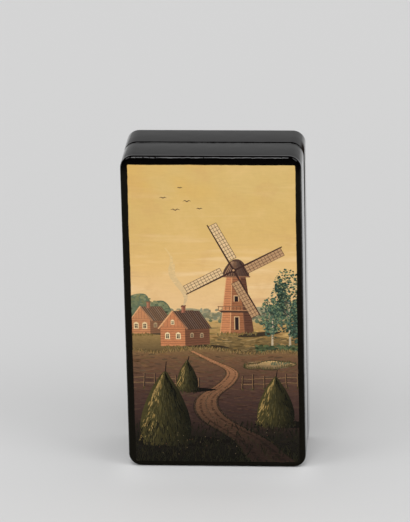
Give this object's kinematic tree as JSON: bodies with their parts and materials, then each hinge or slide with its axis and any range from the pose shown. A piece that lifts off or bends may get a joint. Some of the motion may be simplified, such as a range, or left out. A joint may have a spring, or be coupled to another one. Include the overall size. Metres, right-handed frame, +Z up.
{
  "type": "russian lacquer box",
  "caption": "Upright hinged papier-mache box in black lacquer, red inside, with a painted landscape panel on its lid.",
  "frame": {"origin": "middle of the short end that the box stands on, at the level of the surface", "axes": "+Z up, along the box's length; -Y out of the picture on the lid, towards the viewer; +X to the viewer's right"},
  "size_m": [0.07, 0.032, 0.13],
  "materials": {
    "black_lacquer": "polished black oil lacquer over papier-mache, red lacquer on the faces inside the box",
    "red_lacquer": "polished deep red oil lacquer over papier-mache",
    "painted_picture": "oil painting on a primed ground under clear polished lacquer, with a black edge",
    "tinned_sheet": "dull tinned steel sheet, folded by hand, with black lacquer caught in the joints",
    "steel_wire": "bright drawn steel wire, slightly aged"
  },
  "bodies": {
    "base": {"base_wall": "black_lacquer", "base_board": "black_lacquer", "base_collar": "red_lacquer", "hinge_wire": "steel_wire", "base_hinge_leaf_1": "tinned_sheet", "base_hinge_leaf_2": "tinned_sheet", "base_hinge_leaf_3": "tinned_sheet"},
    "lid": {"lid_wall": "black_lacquer", "lid_board": "red_lacquer", "lid_picture": "painted_picture", "lid_hinge_leaf_1": "tinned_sheet", "lid_hinge_leaf_2": "tinned_sheet"}
  },
  "joints": [
    {"name": "lid_hinge", "type": "hinge", "parent": "base", "child": "lid", "pos_m": [-0.0342, 0.00035, 0.065], "axis": [0, 0, -1], "range_deg": [0, 100]}
  ]
}
